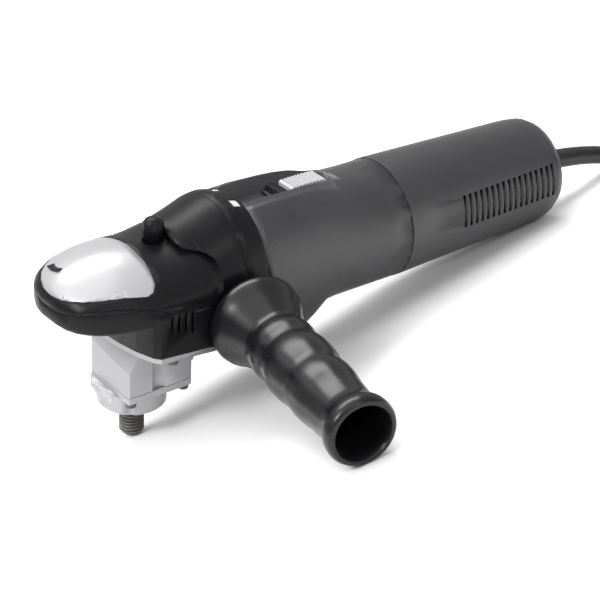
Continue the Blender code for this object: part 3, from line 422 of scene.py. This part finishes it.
# Every CAD node starts with the finish of its slot, and the ones in sight are then refined or replaced.
slotFinish = {
    "black_plastic": "satinBlack",
    "textured_plastic": "mouldedGrain",
    "cast_aluminium": "blastedCasting",
    "silver_paint": "silverLacquer",
    "dark_steel": "darkSteel",
    "bright_steel": "brightSteel",
    "copper": "woundCopper",
    "carbon": "brushCarbon",
    "rubber": "cordRubber",
    "grey_plastic": "padGrey",
    "lamp_plastic": "milkyLens",
    "board_resin": "boardResin",
}
nodeSlot = {part["node"]: part["material_slot"] for part in frame["record"]["subparts"]}
nodeBody = {name: body for body, names in frame["record"]["behaviour"]["bodies"].items() for name in names}
for name, piece in nodes.items():
    piece.data.materials.clear()
    piece.data.materials.append(material[slotFinish[nodeSlot[name]]])


cordLead = {
    "radius": 0.004,
    "route": (
        (0.1966, 0.0582, 0.0092),
        (0.2040, 0.0583, 0.0062),
        (0.2120, 0.0583, 0.0045),
        (0.2240, 0.0583, 0.0042),
        (0.2420, 0.0583, 0.0042),
        (0.2620, 0.0583, 0.0042),
    ),
    "coilCentre": (0.262, -0.008),
    "innerTurn": 0.0341,
    "outerTurn": 0.0579,
    "layerHeights": (0.0043, 0.0121, 0.0199, 0.0277),
    "turnsPerLayer": 3,
    "plugEntry": (0.2955, -0.048, 0.0415),
    "tailLift": 0.0012,
    "tailStraight": 0.0235,
    "tailBend": 0.0324,
    "tailSweep": radians(120),
    "tailSteps": 12,
    "insidePlug": 0.004,
    "length": 3.9,
}


def coilPoints():
    # The turns wind clockwise, in towards the middle and out again, layer on layer.
    lead = cordLead
    inner, outer = lead["innerTurn"], lead["outerTurn"]
    heights = lead["layerHeights"]
    step = radians(15)
    centre = Vector((*lead["coilCentre"], 0))
    points = []
    angle = radians(90)

    def put(radius, height):
        points.append(centre + Vector((cos(angle) * radius, sin(angle) * radius, height)))

    joinRadius = lead["route"][-1][1] - centre.y
    for i in range(1, 7):
        angle -= step
        put(joinRadius + (outer - joinRadius) * i / 6, heights[0])
    steps = round(lead["turnsPerLayer"] * tau / step)
    for layer, height in enumerate(heights):
        start, end = (outer, inner) if layer % 2 == 0 else (inner, outer)
        for i in range(1, steps + 1):
            angle -= step
            put(start + (end - start) * i / steps, height)
        if layer + 1 < len(heights):
            for i in range(1, 7):
                angle -= step
                t = i / 6
                rise = t * t * (3 - 2 * t)
                put(end, height + (heights[layer + 1] - height) * rise)
    for i in range(1, 5):
        angle -= step
        put(outer, heights[-1] + lead["tailLift"] * i * i / 16)
    return points, angle


def plugTail(top, way):
    # The lead runs straight off the top turn, then round one even bend that ends in the plug.
    lead = cordLead
    rightHand = Vector((way.y, -way.x, 0))
    entry = Vector(lead["plugEntry"])
    straight, bend = lead["tailStraight"], lead["tailBend"]
    sweep, turns = lead["tailSweep"], lead["tailSteps"]
    corner = top + way * straight
    middle = corner + rightHand * bend
    run = [top + way * straight * i / 3 for i in (1, 2)]
    for i in range(turns + 1):
        angle = sweep * i / turns
        run.append(middle + (way * sin(angle) - rightHand * cos(angle)) * bend)
    for i, point in enumerate(run):
        t = (i + 1) / len(run)
        point.z = top.z + (entry.z - top.z) * t * t * (3 - 2 * t)
    return run + [entry + Vector((-lead["insidePlug"], 0, 0))]


def makeCord():
    lead = cordLead
    knots = [Vector(point) for point in lead["route"]]
    coil, angle = coilPoints()
    top = coil[-1]
    way = Vector((sin(angle), -cos(angle), 0))
    points = knots + coil + plugTail(top, way)
    curve = bpy.data.curves.new("mainsCord", "CURVE")
    curve.dimensions = "3D"
    curve.bevel_depth = lead["radius"]
    curve.bevel_resolution = 3
    curve.use_fill_caps = True
    line = curve.splines.new("NURBS")
    line.points.add(len(points) - 1)
    for spot, point in zip(line.points, points):
        spot.co = (*point, 1)
    line.order_u = 3
    line.use_endpoint_u = True
    line.resolution_u = 2
    cord = bpy.data.objects.new("mainsCord", curve)
    bpy.context.scene.collection.objects.link(cord)
    curve.materials.append(material["cordRubber"])
    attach(cord, "tool_body")
    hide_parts("power_cord", "cord_coil")


shells = (
    ("gear_housing", "gearCasting", "blastedCasting", 16),
    ("bearing_cover", "bearingPlate", "blastedCasting", 16),
    ("head_cover_upper", "upperHeadShell", "satinBlack", 30),
    ("head_cover_lower", "lowerHeadShell", "satinBlack", 28),
    ("front_cap", "noseCap", "silverLacquer", 30),
    ("spindle_lock_button", "lockPost", "satinBlack", 30),
    ("neck_cover", "neckShell", "satinBlack", 34),
    ("neck_band", "bandShell", "satinBlack", 34),
    ("marker_light_left", "leftWindow", "milkyLens", 34),
    ("marker_light_right", "rightWindow", "milkyLens", 34),
    ("motor_housing", "middleShell", "mouldedGrain", 34),
    ("rear_housing", "tailShell", "mouldedGrain", 30),
    ("switch_slider", "sliderCarriage", "satinBlack", 30),
    ("switch_pad", "sliderPad", "padGrey", 18),
    ("speed_dial", "tailDial", "padGrey", 30),
    ("strain_relief", "cordSleeve", "cordRubber", 30),
    ("handle_bolt", "gripBolt", "brightSteel", 30),
    ("plug", "leadPlug", "cordRubber", 30),
)
for node, name, finish, angle in shells:
    piece = refinedCopy(node, name, angle)
    dress(piece, nodeBody[node], material[finish], nodeSlot[node], node)
print("shells refined:", len(shells))

noseSlit = {
    "centre": (-40.6, 10.8, 109.3),
    "size": (9.0, 11.0, 1.6),
    "sag": 1.0,
    "pinch": 0.75,
    "tilt": -12.0,
    "steps": 8,
    "recess": 1.6,
    "clearance": 0.1,
}


def slitBar(name, shrink, shift):
    # A bar across the nose whose ends curl up and thin out leaves a crescent.
    bpy.ops.object.select_all(action="DESELECT")
    bpy.ops.mesh.primitive_cube_add(size=1)
    piece = startPiece(name)
    bpy.ops.object.mode_set(mode="EDIT")
    bpy.ops.mesh.select_all(action="SELECT")
    bpy.ops.mesh.subdivide(number_cuts=noseSlit["steps"])
    bpy.ops.object.mode_set(mode="OBJECT")
    deep, wide, high = (extent - shrink for extent in noseSlit["size"])
    for vertex in piece.data.vertices:
        across = vertex.co.y * 2
        pinch = 1 - noseSlit["pinch"] * across * across
        rise = noseSlit["sag"] * across * across
        vertex.co = (vertex.co.x * deep, vertex.co.y * wide, vertex.co.z * high * pinch + rise)
    place = Vector(noseSlit["centre"]) + Vector((shift, 0, 0))
    turn = Matrix.Translation(place) @ Matrix.Rotation(radians(noseSlit["tilt"]), 4, "X")
    return layDown(piece, turn)


def cutNoseSlit():
    cap = bpy.data.objects["noseCap"]
    cutter = slitBar("slitCutter", 0.0, 0.0)
    applyModifier(cap, "BOOLEAN", operation="DIFFERENCE", object=cutter, solver="EXACT")
    bpy.data.objects.remove(cutter)
    smooth(cap, 30)
    lining = slitBar("slitLining", noseSlit["clearance"], noseSlit["recess"])
    dress(lining, "tool_body", material["satinBlack"], "black_plastic")


cutNoseSlit()
print("nose slit cut")


def makeLockSpring():
    # The spring is the CAD node's own shape, copied, smoothed and given its own mesh.
    node = "spindle_lock_spring"
    piece = refinedCopy(node, "lockSpring", 40)
    dress(piece, "tool_body", material["brightSteel"], nodeSlot[node], node)
    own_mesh(piece)


makeLockSpring()
print("lock spring in")

makeCord()
print("cord laid")


grip = {
    "root": (56.9, 0.0, 77.1),
    "way": (-0.1893, -0.9819, 0.0),
    "rows": (
        (11.0, 45.4), (24.4, 45.4), (25.7, 46.0), (26.5, 47.6), (26.6, 49.4), (26.0, 52.4),
        (24.4, 55.6), (22.4, 60.6), (20.6, 66.0), (18.6, 71.0), (17.7, 74.4), (18.1, 76.6),
        (19.0, 79.2), (19.3, 82.4), (18.9, 86.4), (18.0, 90.7), (18.4, 93.4), (19.4, 97.0),
        (19.9, 102.0), (19.6, 108.0), (18.7, 114.4), (18.1, 118.6), (18.5, 121.6), (18.9, 125.6),
        (18.8, 131.0), (18.2, 136.6), (17.4, 141.0), (17.2, 147.0), (16.8, 153.4), (17.0, 157.0),
        (18.1, 160.4), (19.4, 163.4), (19.9, 166.4), (19.7, 169.2), (18.8, 171.2), (17.6, 171.9),
        (16.2, 171.6), (15.2, 169.6), (14.7, 166.4), (14.0, 140.0), (13.4, 108.4), (12.6, 81.0),
    ),
    "segments": 72,
}


def makeGrip():
    piece = turnRows("gripSleeve", grip["rows"], grip["segments"])
    turn = Vector(grip["way"]).to_track_quat("Z", "X").to_matrix().to_4x4()
    layDown(piece, Matrix.Translation(grip["root"]) @ turn)
    smooth(piece, 50)
    dress(piece, "tool_body", material["gripBlack"], "black_plastic", "side_handle")


makeGrip()
print("grip turned")

spindle = {
    "core": (
        (5.2, 0.0), (5.75, 0.6), (5.75, 18.9), (6.4, 19.4), (6.4, 20.0), (8.3, 20.0), (8.6, 20.3),
        (8.6, 23.2), (8.3, 23.5), (7.5, 23.7), (7.5, 101.8), (5.0, 102.0), (5.0, 107.6),
    ),
    "tooth": ((5.6, -0.92), (6.98, -0.20), (6.98, 0.20), (5.6, 0.92)),
    "pitch": 2.0,
    "turns": 9,
    "threadStart": 1.2,
}


def makeSpindle():
    core = turnRows("spindleCore", spindle["core"], 48)
    layDown(core)
    smooth(core, 35)
    dress(core, "output_spindle", material["darkSteel"], "dark_steel", "spindle")
    bpy.ops.object.select_all(action="DESELECT")
    bpy.ops.mesh.primitive_plane_add(size=1)
    thread = startPiece("spindleThread")
    # The plane's four corners become one tooth, which the Screw modifier winds up the shaft.
    order = sorted(thread.data.vertices, key=lambda vertex: atan2(vertex.co.y, vertex.co.x))
    for vertex, (radius, height) in zip(order, spindle["tooth"]):
        vertex.co = (radius, 0, spindle["threadStart"] + height)
    applyModifier(
        thread, "SCREW", angle=tau, screw_offset=spindle["pitch"], iterations=spindle["turns"],
        steps=40, render_steps=40, use_merge_vertices=False, use_smooth_shade=True,
    )
    tidyNormals(thread)
    layDown(thread)
    smooth(thread, 25)
    dress(thread, "output_spindle", material["darkSteel"], "dark_steel")


makeSpindle()
print("spindle threaded")

screws = {
    "head": ((2.6, 0.0), (3.0, 0.4), (3.1, 0.8), (3.1, 3.0), (2.0, 3.0), (2.0, 9.0)),
    "socketRadius": 1.55,
    "socketDepth": 1.7,
    "places": {
        "cover_screw_1": (-11.8, -16.3, 28.0),
        "cover_screw_2": (23.0, -16.0, 28.0),
        "cover_screw_3": (23.0, 16.0, 28.0),
        "cover_screw_4": (-11.4, 15.9, 28.0),
        "flange_screw_1": (3.5, -33.4, 58.5),
        "flange_screw_2": (3.5, 33.4, 58.5),
    },
}


def makeScrew(node, place):
    piece = turnRows(node.replace("_", "") + "Head", screws["head"], 32)
    bpy.ops.object.select_all(action="DESELECT")
    bpy.ops.mesh.primitive_cylinder_add(
        vertices=6, radius=screws["socketRadius"], depth=2 * screws["socketDepth"], location=(0, 0, 0)
    )
    socket = startPiece("socketCutter")
    applyModifier(piece, "BOOLEAN", operation="DIFFERENCE", object=socket, solver="EXACT")
    bpy.data.objects.remove(socket)
    layDown(piece, Matrix.Translation(place))
    smooth(piece, 30)
    dress(piece, "tool_body", material["darkSteel"], "dark_steel", node)


for node, place in screws["places"].items():
    makeScrew(node, place)
print("screws in")
